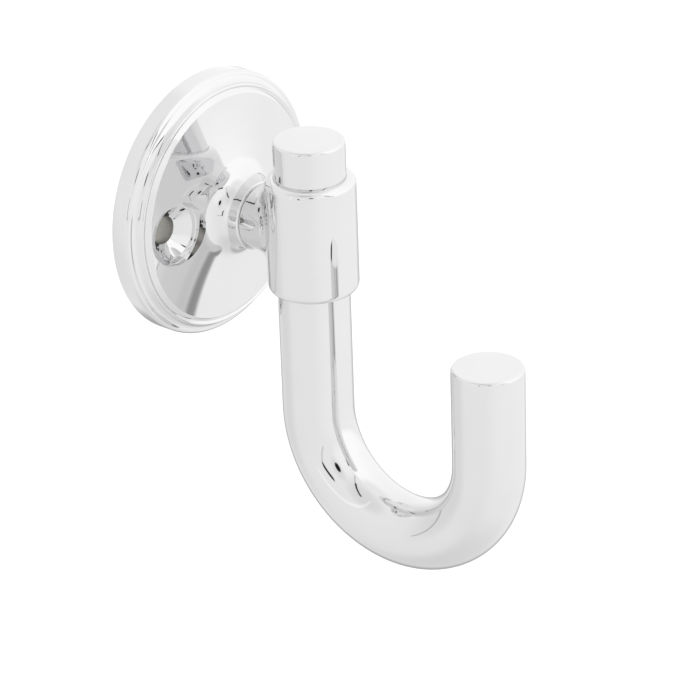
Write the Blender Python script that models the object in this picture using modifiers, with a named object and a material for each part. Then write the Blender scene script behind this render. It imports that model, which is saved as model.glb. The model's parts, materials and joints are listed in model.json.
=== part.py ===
"""Wall hook: a round rose, a sleeve on a short stem, and a J-shaped bar held in the sleeve.

Metres, +Z up. The wall is the plane y = 0, the hook stands out towards -Y, and the origin is on
the rose's axis at the wall. "Depth" below is the distance out from the wall.
"""

import math

import bmesh
import bpy
from mathutils import Matrix, Vector

# Rose: the round plate on the wall, with a moulded rim, a low cone and a neck
ROSE_RADIUS = 0.0240
ROSE_SIDE_DEPTH = 0.00305
ROSE_BACK_CHAMFER = 0.0004

# The rim, from outside in. A lean is how far the surface tips outward from facing front
NOSE_RADIUS = 0.00095
COVE_RADIUS = 0.00145
COVE_FOOT_LEAN = math.radians(8.0)
COVE_TOP_LEAN = math.radians(86.0)
BEAD_RADIUS = 0.0003
BEAD_BACK_LEAN = math.radians(-35.0)
RIM_GROOVE_WIDTH = 0.00045
RIM_GROOVE_DEPTH = 0.00025

# The cone, which is slightly hollow, the neck and the back
CONE_STEP_WIDTH = 0.00074
CONE_STEP_HEIGHT = 0.00075
CONE_FOOT_LEAN = math.radians(7.6)
CONE_TOP_LEAN = math.radians(12.0)
NECK_RADIUS = 0.0062
NECK_DEPTH = 0.0133
NECK_FILLET_RADIUS = 0.0040
BEARING_RING_WIDTH = 0.0126
BACK_RELIEF_DEPTH = 0.0008

# Two holes for countersunk wood screws, one each side of the neck
WALL_SCREW_SPACING = 0.0288
WALL_SCREW_HOLE_RADIUS = 0.0025
COUNTERSINK_RADIUS = 0.0048
COUNTERSINK_HALF_ANGLE = math.radians(45.0)
SPOT_FACE_RADIUS = 0.0058
SPOT_FACE_DEPTH = 0.0059

# Sleeve and its stem
SLEEVE_RADIUS = 0.0080
SLEEVE_LENGTH = 0.0212
SLEEVE_EDGE_RADIUS = 0.00135
STEM_RADIUS = 0.0058
STEM_FILLET_RADIUS = 0.0034
STEM_FILLET_FOOT = 0.00003

# J-shaped bar
BAR_RADIUS = 0.00635
BAR_STANDOFF = 0.0251
BAR_STUB_LENGTH = 0.0068
BAR_DROP = 0.0335
BEND_RADIUS = 0.0190
ARM_LENGTH = 0.0185
BAR_END_ROUND = 0.0006

# Clamp screw, through the rose and the stem to a groove in the bar
SCREW_RADIUS = 0.0025
SCREW_POINT_RADIUS = 0.00175
SCREW_POINT_LENGTH = 0.0020
SCREW_HEAD_RADIUS = 0.00425
SCREW_HEAD_HEIGHT = 0.0035
SCREW_HEAD_INSET = 0.0005
HEX_SOCKET_WIDTH = 0.0030
HEX_SOCKET_DEPTH = 0.0020
PLAIN_WASHER_RADIUS = 0.0050
PLAIN_WASHER_THICKNESS = 0.0010
LOCK_WASHER_RADIUS = 0.0046
LOCK_WASHER_THICKNESS = 0.0012
LOCK_WASHER_SPLIT = 0.0007
LOCK_WASHER_SPLIT_ANGLE = math.radians(20.0)
BAR_GROOVE_DEPTH = 0.0012

# Locating pin, half in the neck and half in the stem
PIN_RADIUS = 0.00075
PIN_LENGTH = 0.0050
PIN_RING_RADIUS = 0.0043

# Clearances
SEAT_GAP = 0.0003
BAR_CLEARANCE = 0.0002
SCREW_CLEARANCE = 0.0003
PIN_CLEARANCE = 0.0002
RECESS_CLEARANCE = 0.0005
CUT_OVERRUN = 0.0010

# Facets
ROSE_STEPS = 64
SLEEVE_STEPS = 56
BAR_SIDES = 36
BEND_STEPS = 28
FASTENER_STEPS = 32
HOLE_STEPS = 40
FILLET_STEPS = 6
ROUND_STEPS = 4
HEX_SIDES = 6
SMOOTH_ANGLE = math.radians(30.0)
MERGE_DISTANCE = 0.00001

# Sizes that follow from the ones above
COUNTERSINK_HEIGHT = (COUNTERSINK_RADIUS - WALL_SCREW_HOLE_RADIUS) / math.tan(COUNTERSINK_HALF_ANGLE)
STEM_FACE_DEPTH = NECK_DEPTH + SEAT_GAP
SLEEVE_BORE_RADIUS = BAR_RADIUS + BAR_CLEARANCE
SCREW_BORE_RADIUS = SCREW_RADIUS + SCREW_CLEARANCE
RECESS_RADIUS = PLAIN_WASHER_RADIUS + RECESS_CLEARANCE
SCREW_SEAT_DEPTH = SCREW_HEAD_INSET + SCREW_HEAD_HEIGHT
LOCK_WASHER_DEPTH = SCREW_SEAT_DEPTH + SEAT_GAP
PLAIN_WASHER_DEPTH = LOCK_WASHER_DEPTH + LOCK_WASHER_THICKNESS + SEAT_GAP
RECESS_DEPTH = PLAIN_WASHER_DEPTH + PLAIN_WASHER_THICKNESS + SEAT_GAP
GROOVE_FLOOR_RADIUS = BAR_RADIUS - BAR_GROOVE_DEPTH
GROOVE_HALF_WIDTH = SCREW_POINT_RADIUS + SCREW_CLEARANCE
SCREW_TIP_DEPTH = BAR_STANDOFF - GROOVE_FLOOR_RADIUS - SEAT_GAP
SLEEVE_HALF = SLEEVE_LENGTH / 2
STRAIGHT_HALF = SLEEVE_HALF - SLEEVE_EDGE_RADIUS
STEM_FILLET = min(
    STEM_FILLET_RADIUS,
    BAR_STANDOFF - SLEEVE_RADIUS - STEM_FACE_DEPTH,
    STRAIGHT_HALF - STEM_RADIUS,
)
PIN_DEPTH = NECK_DEPTH + SEAT_GAP / 2

# Local +Z of a piece on the stem's axis points out from the wall
FACE_OUT = (math.pi / 2, 0.0, 0.0)
SLEEVE_CENTRE = (0.0, -BAR_STANDOFF, 0.0)


def clear_scene():
    for obj in list(bpy.data.objects):
        bpy.data.objects.remove(obj, do_unlink=True)


def new_collection(name):
    collection = bpy.data.collections.new(name)
    bpy.context.scene.collection.children.link(collection)
    return collection


def new_material(name, colour, metallic, roughness):
    material = bpy.data.materials.new(name)
    material.use_nodes = True
    shader = material.node_tree.nodes["Principled BSDF"]
    shader.inputs["Base Color"].default_value = (*colour, 1.0)
    shader.inputs["Metallic"].default_value = metallic
    shader.inputs["Roughness"].default_value = roughness
    return material


def add_object(name, data, collection, location=(0, 0, 0), rotation=(0, 0, 0)):
    obj = bpy.data.objects.new(name, data)
    obj.location = location
    obj.rotation_euler = rotation
    collection.objects.link(obj)
    return obj


def hide_cutter(obj):
    obj.hide_render = True
    obj.display_type = "WIRE"
    return obj


def arc(centre, radius, start, end, steps=ROUND_STEPS):
    angles = [start + (end - start) * i / steps for i in range(steps + 1)]
    return [(centre[0] + radius * math.cos(a), centre[1] + radius * math.sin(a)) for a in angles]


def turned(name, profile, steps, collection, closed=False, **place):
    """A shape turned about its local Z from (radius, height) points, its outer side running down."""
    mesh = bpy.data.meshes.new(name)
    edges = [(i, i + 1) for i in range(len(profile) - 1)]
    if closed:
        edges.append((len(profile) - 1, 0))
    mesh.from_pydata([(radius, 0.0, height) for radius, height in profile], edges, [])
    obj = add_object(name, mesh, collection, **place)
    screw = obj.modifiers.new("turn", "SCREW")
    screw.axis = "Z"
    screw.angle = math.tau
    screw.steps = steps
    screw.render_steps = steps
    screw.use_merge_vertices = True
    screw.merge_threshold = MERGE_DISTANCE
    return obj


def tube_profile(inner, outer, low, high):
    return [(outer, high), (outer, low), (inner, low), (inner, high)]


def rod_profile(radius, low, high):
    return [(0.0, high), (radius, high), (radius, low), (0.0, low)]


def combine(obj, other, operation):
    boolean = obj.modifiers.new(f"{operation.lower()} {other.name}", "BOOLEAN")
    boolean.operation = operation
    boolean.solver = "EXACT"
    boolean.object = other


def settle(obj, material):
    """Give a piece the mesh that its modifiers make, smooth on its round faces."""
    bpy.context.view_layer.update()
    depsgraph = bpy.context.evaluated_depsgraph_get()
    mesh = bpy.data.meshes.new_from_object(obj.evaluated_get(depsgraph))
    obj.modifiers.clear()
    obj.data = mesh
    mesh.name = obj.name
    mesh.materials.clear()
    mesh.materials.append(material)
    mesh.shade_smooth()
    mesh.set_sharp_from_angle(angle=SMOOTH_ANGLE)
    return obj


def leaning(angle):
    return Vector((math.sin(angle), math.cos(angle)))


def hollow_arc(centre, radius, start_lean, end_lean):
    start = 1.5 * math.pi - start_lean
    return arc(centre, radius, start, start + start_lean - end_lean, FILLET_STEPS)


def rim_profile():
    """The rim outward from the cone's foot: a step, a fine groove, a bead, a cove and a round nose."""
    nose = Vector((ROSE_RADIUS - NOSE_RADIUS, ROSE_SIDE_DEPTH))
    cove = nose + (NOSE_RADIUS + COVE_RADIUS) * leaning(COVE_FOOT_LEAN)
    bead = cove - (COVE_RADIUS + BEAD_RADIUS) * leaning(COVE_TOP_LEAN)
    groove = bead + Vector((-RIM_GROOVE_WIDTH, BEAD_RADIUS - RIM_GROOVE_DEPTH))
    cone_foot = groove + Vector((-CONE_STEP_WIDTH, CONE_STEP_HEIGHT))
    profile = [tuple(cone_foot), tuple(groove)]
    profile += arc(bead, BEAD_RADIUS, math.pi / 2 - BEAD_BACK_LEAN, math.pi / 2 - COVE_TOP_LEAN)
    profile += hollow_arc(cove, COVE_RADIUS, COVE_TOP_LEAN, COVE_FOOT_LEAN)[1:]
    profile += arc(nose, NOSE_RADIUS, math.pi / 2 - COVE_FOOT_LEAN, 0.0, FILLET_STEPS)[1:]
    return profile


def rose_profile():
    rim = rim_profile()
    cone_foot = Vector(rim[0])
    fillet_radius = NECK_RADIUS + NECK_FILLET_RADIUS
    cone_top_radius = fillet_radius - NECK_FILLET_RADIUS * math.sin(CONE_TOP_LEAN)
    cone_hollow = (cone_foot.x - cone_top_radius) / (math.sin(CONE_TOP_LEAN) - math.sin(CONE_FOOT_LEAN))
    cone_centre = cone_foot + cone_hollow * leaning(CONE_FOOT_LEAN)
    fillet_depth = cone_centre.y - (cone_hollow - NECK_FILLET_RADIUS) * math.cos(CONE_TOP_LEAN)
    relief_radius = ROSE_RADIUS - ROSE_BACK_CHAMFER - BEARING_RING_WIDTH
    profile = [(SCREW_BORE_RADIUS, NECK_DEPTH), (NECK_RADIUS, NECK_DEPTH)]
    profile += hollow_arc((fillet_radius, fillet_depth), NECK_FILLET_RADIUS, math.pi / 2, CONE_TOP_LEAN)
    profile += hollow_arc(cone_centre, cone_hollow, CONE_TOP_LEAN, CONE_FOOT_LEAN)[1:-1]
    profile += rim
    profile.append((ROSE_RADIUS, ROSE_BACK_CHAMFER))
    profile.append((ROSE_RADIUS - ROSE_BACK_CHAMFER, 0.0))
    profile.append((relief_radius, 0.0))
    profile.append((relief_radius, BACK_RELIEF_DEPTH))
    profile.append((RECESS_RADIUS, BACK_RELIEF_DEPTH))
    profile.append((RECESS_RADIUS, RECESS_DEPTH))
    profile.append((SCREW_BORE_RADIUS, RECESS_DEPTH))
    return profile


def wall_screw_cutter(side, collection):
    top = NECK_DEPTH + CUT_OVERRUN
    profile = [
        (0.0, top),
        (SPOT_FACE_RADIUS, top),
        (SPOT_FACE_RADIUS, SPOT_FACE_DEPTH),
        (COUNTERSINK_RADIUS, SPOT_FACE_DEPTH),
        (WALL_SCREW_HOLE_RADIUS, SPOT_FACE_DEPTH - COUNTERSINK_HEIGHT),
        (WALL_SCREW_HOLE_RADIUS, -CUT_OVERRUN),
        (0.0, -CUT_OVERRUN),
    ]
    location = (side * WALL_SCREW_SPACING / 2, 0.0, 0.0)
    name = "wall_screw_hole_left" if side < 0 else "wall_screw_hole_right"
    cutter = turned(name, profile, HOLE_STEPS, collection, location=location, rotation=FACE_OUT)
    return hide_cutter(cutter)


def pin_hole_cutter(collection):
    reach = PIN_LENGTH / 2 + SEAT_GAP
    profile = rod_profile(PIN_RADIUS + PIN_CLEARANCE, -reach, reach)
    location = (0.0, -PIN_DEPTH, PIN_RING_RADIUS)
    cutter = turned("pin_hole", profile, FASTENER_STEPS, collection, location=location, rotation=FACE_OUT)
    return hide_cutter(cutter)


def make_rose(parts, cutters, pin_hole, chrome):
    rose = turned("rose", rose_profile(), ROSE_STEPS, parts, closed=True, rotation=FACE_OUT)
    for side in (-1, 1):
        combine(rose, wall_screw_cutter(side, cutters), "DIFFERENCE")
    combine(rose, pin_hole, "DIFFERENCE")
    return settle(rose, chrome)


def stem_rings():
    """Rings of points round the stem, from its face to the sleeve, about the sleeve's centre.

    The fillet is the path of a ball that rolls round the corner of the two cylinders: for each
    angle round the stem the ball's centre is one fillet radius from both. The fillet's foot stands
    a hair proud of the sleeve, so the two surfaces cross cleanly.
    """
    ball_from_stem = STEM_RADIUS + STEM_FILLET
    ball_from_sleeve = SLEEVE_RADIUS + STEM_FILLET_FOOT + STEM_FILLET
    rings = [[] for _ in range(FILLET_STEPS + 3)]
    for i in range(SLEEVE_STEPS):
        angle = math.tau * i / SLEEVE_STEPS
        across = math.cos(angle)
        up = math.sin(angle)
        out = math.sqrt(ball_from_sleeve**2 - (ball_from_stem * across) ** 2)
        ball = Vector((ball_from_stem * across, out, ball_from_stem * up))
        to_stem = Vector((-across, 0.0, -up))
        to_sleeve = Vector((-ball.x, -ball.y, 0.0)).normalized()
        face_y = BAR_STANDOFF - STEM_FACE_DEPTH
        rings[0].append(Vector((STEM_RADIUS * across, face_y, STEM_RADIUS * up)))
        for step in range(FILLET_STEPS + 1):
            direction = to_stem.slerp(to_sleeve, step / FILLET_STEPS)
            rings[1 + step].append(ball + STEM_FILLET * direction)
        # The stem runs on to half way in to the sleeve's axis, so the two solids overlap
        foot = rings[FILLET_STEPS + 1][-1]
        rings[FILLET_STEPS + 2].append(Vector((foot.x / 2, foot.y / 2, foot.z)))
    return rings


def make_stem(cutters):
    bm = bmesh.new()
    rings = [[bm.verts.new(point) for point in ring] for ring in stem_rings()]
    for near, far in zip(rings, rings[1:]):
        for i in range(SLEEVE_STEPS):
            j = (i + 1) % SLEEVE_STEPS
            bm.faces.new((near[i], near[j], far[j], far[i]))
    bm.faces.new(rings[0])
    centre = bm.verts.new((0.0, 0.0, 0.0))
    for i in range(SLEEVE_STEPS):
        bm.faces.new((rings[-1][i], rings[-1][(i + 1) % SLEEVE_STEPS], centre))
    bmesh.ops.recalc_face_normals(bm, faces=bm.faces)
    mesh = bpy.data.meshes.new("stem")
    bm.to_mesh(mesh)
    bm.free()
    return hide_cutter(add_object("stem", mesh, cutters, location=SLEEVE_CENTRE))


def make_sleeve(parts, cutters, pin_hole, chrome):
    edge = SLEEVE_RADIUS - SLEEVE_EDGE_RADIUS
    profile = [(0.0, SLEEVE_HALF)]
    profile += arc((edge, STRAIGHT_HALF), SLEEVE_EDGE_RADIUS, math.pi / 2, 0.0)
    profile += arc((edge, -STRAIGHT_HALF), SLEEVE_EDGE_RADIUS, 0.0, -math.pi / 2)
    profile.append((0.0, -SLEEVE_HALF))
    sleeve = turned("sleeve", profile, SLEEVE_STEPS, parts, location=SLEEVE_CENTRE)
    reach = SLEEVE_HALF + CUT_OVERRUN
    bore = turned(
        "bar_bore",
        rod_profile(SLEEVE_BORE_RADIUS, -reach, reach),
        SLEEVE_STEPS,
        cutters,
        location=SLEEVE_CENTRE,
    )
    screw_bore = turned(
        "screw_bore",
        rod_profile(SCREW_BORE_RADIUS, NECK_DEPTH - CUT_OVERRUN, BAR_STANDOFF),
        FASTENER_STEPS,
        cutters,
        rotation=FACE_OUT,
    )
    combine(sleeve, make_stem(cutters), "UNION")
    combine(sleeve, pin_hole, "DIFFERENCE")
    combine(sleeve, hide_cutter(screw_bore), "DIFFERENCE")
    combine(sleeve, hide_cutter(bore), "DIFFERENCE")
    return settle(sleeve, chrome)


def bar_route():
    """Points down the bar's centre line with the bar's radius there, about the swivel axis."""
    core = BAR_RADIUS - BAR_END_ROUND
    rounding = [math.pi / 2 * (1 - i / ROUND_STEPS) for i in range(ROUND_STEPS + 1)]
    end = [(BAR_END_ROUND * (1 - math.sin(a)), core + BAR_END_ROUND * math.cos(a)) for a in rounding]
    stub_top = SLEEVE_HALF + BAR_STUB_LENGTH
    arm_y = -2 * BEND_RADIUS
    route = [(Vector((0.0, 0.0, stub_top - inset)), radius) for inset, radius in end]
    for i in range(BEND_STEPS + 1):
        turn = math.pi * i / BEND_STEPS
        y = -BEND_RADIUS * (1 - math.cos(turn))
        z = -BAR_DROP - BEND_RADIUS * math.sin(turn)
        route.append((Vector((0.0, y, z)), BAR_RADIUS))
    tip = ARM_LENGTH - BAR_DROP
    route += [(Vector((0.0, arm_y, tip - inset)), radius) for inset, radius in reversed(end)]
    return route


def make_hook_bar(parts, cutters, swivel, chrome):
    route = bar_route()
    curve = bpy.data.curves.new("hook_bar", "CURVE")
    curve.dimensions = "3D"
    curve.bevel_depth = BAR_RADIUS
    curve.bevel_resolution = BAR_SIDES // 2 - 2  # a round bevel has 2 * resolution + 4 sides
    curve.use_fill_caps = True
    spline = curve.splines.new("POLY")
    spline.points.add(len(route) - 1)
    for point, (place, radius) in zip(spline.points, route):
        point.co = (*place, 1.0)
        point.radius = radius / BAR_RADIUS
    rod = add_object("hook_bar_path", curve, parts)
    rod.parent = swivel
    bpy.context.view_layer.update()
    depsgraph = bpy.context.evaluated_depsgraph_get()
    mesh = bpy.data.meshes.new_from_object(rod.evaluated_get(depsgraph))
    bm = bmesh.new()
    bm.from_mesh(mesh)
    bmesh.ops.remove_doubles(bm, verts=bm.verts, dist=MERGE_DISTANCE)
    bmesh.ops.recalc_face_normals(bm, faces=bm.faces)
    bm.to_mesh(mesh)
    bm.free()
    bar = add_object("hook_bar", mesh, parts)
    bar.parent = swivel
    bar.matrix_world = rod.matrix_world
    bpy.data.objects.remove(rod, do_unlink=True)
    groove = turned(
        "bar_groove",
        tube_profile(GROOVE_FLOOR_RADIUS, BAR_RADIUS + CUT_OVERRUN, -GROOVE_HALF_WIDTH, GROOVE_HALF_WIDTH),
        BAR_SIDES,
        cutters,
        closed=True,
        location=SLEEVE_CENTRE,
    )
    combine(bar, hide_cutter(groove), "DIFFERENCE")
    return settle(bar, chrome)


def make_clamp_screw(parts, cutters, steel):
    shoulder = SCREW_TIP_DEPTH - SCREW_POINT_LENGTH
    profile = [
        (0.0, SCREW_TIP_DEPTH),
        (SCREW_POINT_RADIUS, SCREW_TIP_DEPTH),
        (SCREW_POINT_RADIUS, shoulder),
        (SCREW_RADIUS, shoulder - (SCREW_RADIUS - SCREW_POINT_RADIUS)),
        (SCREW_RADIUS, SCREW_SEAT_DEPTH),
        (SCREW_HEAD_RADIUS, SCREW_SEAT_DEPTH),
        (SCREW_HEAD_RADIUS, SCREW_HEAD_INSET),
        (0.0, SCREW_HEAD_INSET),
    ]
    screw = turned("clamp_screw", profile, FASTENER_STEPS, parts, rotation=FACE_OUT)
    floor = SCREW_HEAD_INSET + HEX_SOCKET_DEPTH
    socket = turned(
        "hex_socket",
        rod_profile(HEX_SOCKET_WIDTH / math.sqrt(3), -CUT_OVERRUN, floor),
        HEX_SIDES,
        cutters,
        rotation=FACE_OUT,
    )
    combine(screw, hide_cutter(socket), "DIFFERENCE")
    return settle(screw, steel)


def make_washer(name, radius, depth, thickness, parts):
    profile = tube_profile(SCREW_BORE_RADIUS, radius, depth, depth + thickness)
    return turned(name, profile, FASTENER_STEPS, parts, closed=True, rotation=FACE_OUT)


def make_lock_washer(parts, cutters, steel):
    washer = make_washer("lock_washer", LOCK_WASHER_RADIUS, LOCK_WASHER_DEPTH, LOCK_WASHER_THICKNESS, parts)
    bm = bmesh.new()
    size = (LOCK_WASHER_RADIUS, LOCK_WASHER_SPLIT, LOCK_WASHER_THICKNESS + 2 * CUT_OVERRUN)
    bmesh.ops.create_cube(bm, size=1.0, matrix=Matrix.Diagonal((*size, 1.0)))
    mesh = bpy.data.meshes.new("washer_split")
    bm.to_mesh(mesh)
    bm.free()
    split = add_object(
        "washer_split",
        mesh,
        cutters,
        location=(
            (SCREW_BORE_RADIUS + LOCK_WASHER_RADIUS) / 2,
            -(LOCK_WASHER_DEPTH + LOCK_WASHER_THICKNESS / 2),
            0.0,
        ),
        rotation=(math.pi / 2 + LOCK_WASHER_SPLIT_ANGLE, 0.0, 0.0),
    )
    combine(washer, hide_cutter(split), "DIFFERENCE")
    return settle(washer, steel)


def make_locating_pin(parts, steel):
    profile = rod_profile(PIN_RADIUS, -PIN_LENGTH / 2, PIN_LENGTH / 2)
    location = (0.0, -PIN_DEPTH, PIN_RING_RADIUS)
    pin = turned("locating_pin", profile, FASTENER_STEPS, parts, location=location, rotation=FACE_OUT)
    return settle(pin, steel)


def main():
    clear_scene()
    parts = new_collection("wall_hook")
    cutters = new_collection("wall_hook_cutters")
    root = add_object("wall_hook", None, parts)
    swivel = add_object("hook_swivel", None, parts, location=SLEEVE_CENTRE)
    chrome = {
        name: new_material(f"{name}_chrome", (0.78, 0.78, 0.79), 1.0, 0.05)
        for name in ("rose", "sleeve", "hook_bar")
    }
    screw_steel = new_material("screw_steel", (0.62, 0.62, 0.64), 1.0, 0.30)
    washer_steel = new_material("washer_steel", (0.70, 0.70, 0.70), 1.0, 0.35)
    spring_steel = new_material("spring_steel", (0.45, 0.45, 0.46), 1.0, 0.35)
    pin_steel = new_material("pin_steel", (0.55, 0.55, 0.56), 1.0, 0.25)
    pin_hole = pin_hole_cutter(cutters)
    plain_washer = make_washer(
        "plain_washer",
        PLAIN_WASHER_RADIUS,
        PLAIN_WASHER_DEPTH,
        PLAIN_WASHER_THICKNESS,
        parts,
    )
    fixed = [
        make_rose(parts, cutters, pin_hole, chrome["rose"]),
        make_sleeve(parts, cutters, pin_hole, chrome["sleeve"]),
        make_clamp_screw(parts, cutters, screw_steel),
        make_lock_washer(parts, cutters, spring_steel),
        settle(plain_washer, washer_steel),
        make_locating_pin(parts, pin_steel),
    ]
    make_hook_bar(parts, cutters, swivel, chrome["hook_bar"])
    for piece in fixed:
        piece.parent = root
    swivel.parent = root


main()
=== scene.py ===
import json
import math

import bmesh
import bpy
from mathutils import Matrix, Vector

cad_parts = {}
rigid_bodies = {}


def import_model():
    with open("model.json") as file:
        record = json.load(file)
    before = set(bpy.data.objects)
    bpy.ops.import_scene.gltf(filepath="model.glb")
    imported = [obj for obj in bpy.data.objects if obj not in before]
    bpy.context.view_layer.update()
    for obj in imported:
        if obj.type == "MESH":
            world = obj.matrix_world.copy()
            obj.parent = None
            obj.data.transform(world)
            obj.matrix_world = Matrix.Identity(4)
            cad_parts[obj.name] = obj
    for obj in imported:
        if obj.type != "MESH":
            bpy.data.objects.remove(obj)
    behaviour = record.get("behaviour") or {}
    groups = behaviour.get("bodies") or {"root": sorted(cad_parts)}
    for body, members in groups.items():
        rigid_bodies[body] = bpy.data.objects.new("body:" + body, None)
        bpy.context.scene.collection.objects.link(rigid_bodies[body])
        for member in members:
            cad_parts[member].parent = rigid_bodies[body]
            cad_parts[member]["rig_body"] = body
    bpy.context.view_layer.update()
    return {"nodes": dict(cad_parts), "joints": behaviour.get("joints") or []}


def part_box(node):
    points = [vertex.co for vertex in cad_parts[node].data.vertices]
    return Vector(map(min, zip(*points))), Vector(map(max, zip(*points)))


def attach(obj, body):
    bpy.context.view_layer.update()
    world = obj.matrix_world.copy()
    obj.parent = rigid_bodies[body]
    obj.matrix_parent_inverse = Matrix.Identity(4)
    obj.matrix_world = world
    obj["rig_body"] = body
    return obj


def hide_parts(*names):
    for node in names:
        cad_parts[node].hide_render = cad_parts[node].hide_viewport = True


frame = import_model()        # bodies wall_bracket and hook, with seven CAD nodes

mm = 0.001
mergeWithin = 0.0002 * mm
quarterTurn = math.pi / 2
threeQuarters = 3 * quarterTurn
outFromWall = Matrix.Rotation(quarterTurn, 4, "X")  # turns a piece's own +Z out from the wall
roseLow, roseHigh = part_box("rose")
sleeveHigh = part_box("sleeve")[1]
barLow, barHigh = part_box("hook_bar")
screwLow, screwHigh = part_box("clamp_screw")
plainLow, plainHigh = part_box("plain_washer")
lockLow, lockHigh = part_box("lock_washer")
pinLow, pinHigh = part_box("locating_pin")
swivelAxis = Vector(frame["joints"][0]["pos_m"])  # the upright line that the bar turns on
print("frame loaded:", ", ".join(sorted(frame["nodes"])))


def arcPoints(centre, radius, start, end, steps):
    turns = [start + (end - start) * i / steps for i in range(steps + 1)]
    return [(centre[0] + radius * math.cos(t), centre[1] + radius * math.sin(t)) for t in turns]


def softened(points, rounds, steps=4):
    # rounds the inner corners of an open outline, all alike or each by its own radius
    longest = 0.48           # share of a side that one corner may take
    outline = [points[0]]
    for i in range(1, len(points) - 1):
        radius = rounds[i - 1] if isinstance(rounds, (list, tuple)) else rounds
        here = Vector(points[i])
        back = Vector(points[i - 1]) - here
        ahead = Vector(points[i + 1]) - here
        half = back.angle(ahead) / 2
        reach = min(radius / math.tan(half), longest * back.length, longest * ahead.length)
        start = here + back.normalized() * reach
        end = here + ahead.normalized() * reach
        for k in range(steps + 1):
            t = k / steps
            outline.append(tuple(start * (1 - t) ** 2 + here * 2 * t * (1 - t) + end * t**2))
    return outline + [points[-1]]


def bridge(bm, near, far):
    # faces between two rings, where a ring of one point is a pole
    count = max(len(near), len(far))
    for i in range(count):
        j = (i + 1) % count
        corners = [near[i % len(near)], near[j % len(near)], far[j % len(far)], far[i % len(far)]]
        corners = [c for k, c in enumerate(corners) if c not in corners[:k]]
        if len(corners) > 2:
            bm.faces.new(corners)


def skin(bm, rings, closed=False):
    for near, far in zip(rings, rings[1:]):
        bridge(bm, near, far)
    if closed:
        bridge(bm, rings[-1], rings[0])


def lathe(bm, profile, steps, place, closed=False):
    # turns an outline of (radius, height) about the local Z axis
    # a third value gives a point's ring that many flats
    rings = []
    for radius, height, *flats in profile:
        turns = [math.tau * i / steps for i in range(steps if radius > 0 else 1)]
        ring = []
        for t in turns:
            reach = radius
            if flats:
                reach = radius / math.cos(t % (math.tau / flats[0]) - math.pi / flats[0])
            point = Vector((reach * math.cos(t), reach * math.sin(t), height))
            ring.append(bm.verts.new(place @ point))
        rings.append(ring)
    skin(bm, rings, closed)


def finishMesh(bm, name, sharpAngle=math.radians(34)):
    # merged, closed, facing outwards, smooth but for its real edges
    bmesh.ops.remove_doubles(bm, verts=bm.verts, dist=mergeWithin)
    bmesh.ops.recalc_face_normals(bm, faces=bm.faces)
    mesh = bpy.data.meshes.new(name)
    bm.to_mesh(mesh)
    bm.free()
    mesh.shade_smooth()
    mesh.set_sharp_from_angle(angle=sharpAngle)
    return mesh


def addPiece(name, mesh, finish=None):
    piece = bpy.data.objects.new(name, mesh)
    bpy.context.scene.collection.objects.link(piece)
    if finish:
        mesh.materials.clear()
        mesh.materials.append(finish)
    return piece


def dressNode(piece, node):
    body = frame["nodes"][node]["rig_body"]
    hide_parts(node)
    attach(piece, body)


def plug(tree, socket, value):
    # links another node's output, or sets a plain value
    if hasattr(value, "is_output"):
        tree.links.new(value, socket)
    else:
        socket.default_value = value


def addNode(tree, kind, **inputs):
    node = tree.nodes.new(kind)
    for name, value in inputs.items():
        plug(tree, node.inputs[name.replace("_", " ")], value)
    return node


def calc(tree, operation, first, second=0.0, third=0.0):
    node = tree.nodes.new("ShaderNodeMath")
    node.operation = operation
    for socket, value in zip(node.inputs, (first, second, third)):
        plug(tree, socket, value)
    return node.outputs[0]


def vectorCalc(tree, operation, first, second=None, scale=None):
    node = tree.nodes.new("ShaderNodeVectorMath")
    node.operation = operation
    plug(tree, node.inputs[0], first)
    if second is not None:
        plug(tree, node.inputs[1], second)
    if scale is not None:
        plug(tree, node.inputs["Scale"], scale)
    return node.outputs["Value" if operation in ("DOT_PRODUCT", "DISTANCE") else "Vector"]


def newTree(name, inputs):
    # an empty Geometry Nodes tree with named inputs
    tree = bpy.data.node_groups.new(name, "GeometryNodeTree")
    tree.interface.new_socket("Geometry", in_out="INPUT", socket_type="NodeSocketGeometry")
    for label, kind in inputs.items():
        tree.interface.new_socket(label, in_out="INPUT", socket_type="NodeSocket" + kind)
    tree.interface.new_socket("Geometry", in_out="OUTPUT", socket_type="NodeSocketGeometry")
    return tree, tree.nodes.new("NodeGroupInput").outputs


def endTree(tree, geometry, material):
    real = addNode(tree, "GeometryNodeRealizeInstances", Geometry=geometry)
    dressed = addNode(tree, "GeometryNodeSetMaterial", Geometry=real.outputs[0], Material=material)
    addNode(tree, "NodeGroupOutput", Geometry=dressed.outputs[0])


def runTree(piece, tree, values):
    # sets the modifier's inputs, then keeps the result as a plain mesh
    modifier = piece.modifiers.new(tree.name, "NODES")
    modifier.node_group = tree
    for item in tree.interface.items_tree:
        if item.in_out == "INPUT" and item.name in values:
            modifier[item.identifier] = values[item.name]
    bpy.context.view_layer.update()
    evaluated = piece.evaluated_get(bpy.context.evaluated_depsgraph_get())
    mesh = bpy.data.meshes.new_from_object(evaluated)
    piece.modifiers.remove(modifier)
    bm = bmesh.new()
    bm.from_mesh(mesh)
    piece.data = finishMesh(bm, piece.name)
    piece.data.materials.append(values["Material"])


# Finishes

chromeLook = {
    "dark": (0.76, 0.76, 0.765),
    "light": (0.80, 0.80, 0.805),
    "scale": 120.0,
    "detail": 4.0,
    "gloss": 0.02,
    "haze": 0.05,
}


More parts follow.
